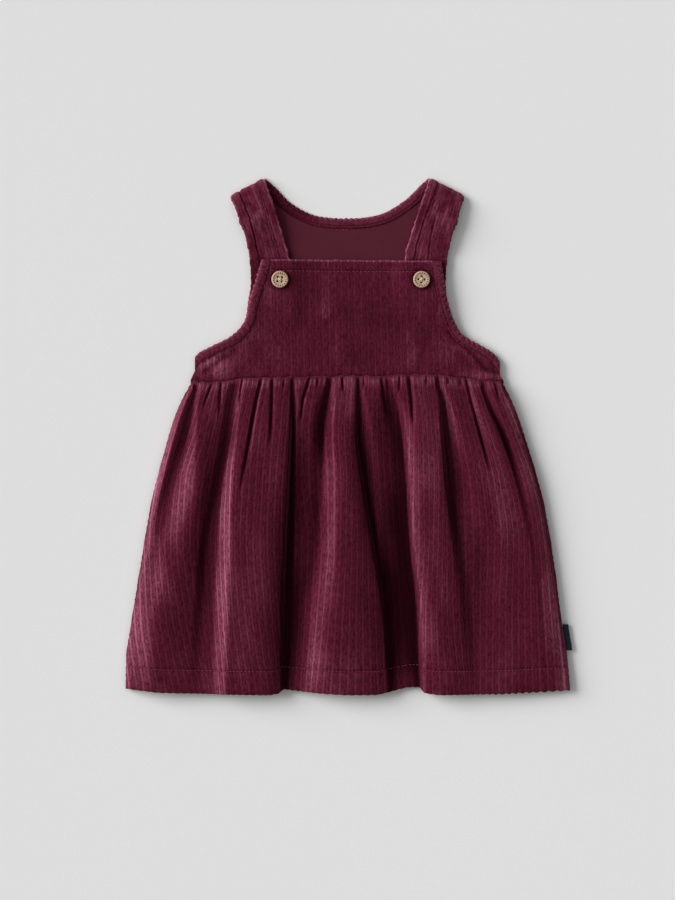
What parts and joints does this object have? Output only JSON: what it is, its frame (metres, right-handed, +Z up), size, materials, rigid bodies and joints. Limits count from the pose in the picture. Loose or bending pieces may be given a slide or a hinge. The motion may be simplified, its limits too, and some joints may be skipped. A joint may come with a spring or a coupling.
{
  "type": "pinafore dress",
  "caption": "Sleeveless baby pinafore dress of ribbed velour with a buttoned bib, wide straps and a gathered skirt, laid flat on its back.",
  "frame": {"origin": "on the surface that the dress lies on, under the middle of its bounding box", "axes": "+Y from the hem towards the shoulders, +Z up out of the surface, +X to the right as one looks down on the front"},
  "size_m": [0.3456, 0.3995, 0.0173],
  "materials": {
    "wine_velour": "cotton velour with fine vertical wales, deep wine red, soft nap",
    "wine_binding": "the same velour cut as a turned and stitched binding",
    "coconut_shell": "pale coconut shell, turned, with brown burnt marks",
    "navy_ribbon": "bare navy satin ribbon"
  },
  "bodies": {
    "root": {"skirt_front": "wine_velour", "skirt_back": "wine_velour", "bodice_front": "wine_velour", "bodice_back": "wine_velour", "strap_left": "wine_velour", "strap_right": "wine_velour", "armhole_band_front_left": "wine_binding", "armhole_band_front_right": "wine_binding", "armhole_band_back_left": "wine_binding", "armhole_band_back_right": "wine_binding", "neck_band": "wine_binding", "button_left": "coconut_shell", "button_right": "coconut_shell", "side_label": "navy_ribbon"}
  },
  "joints": []
}
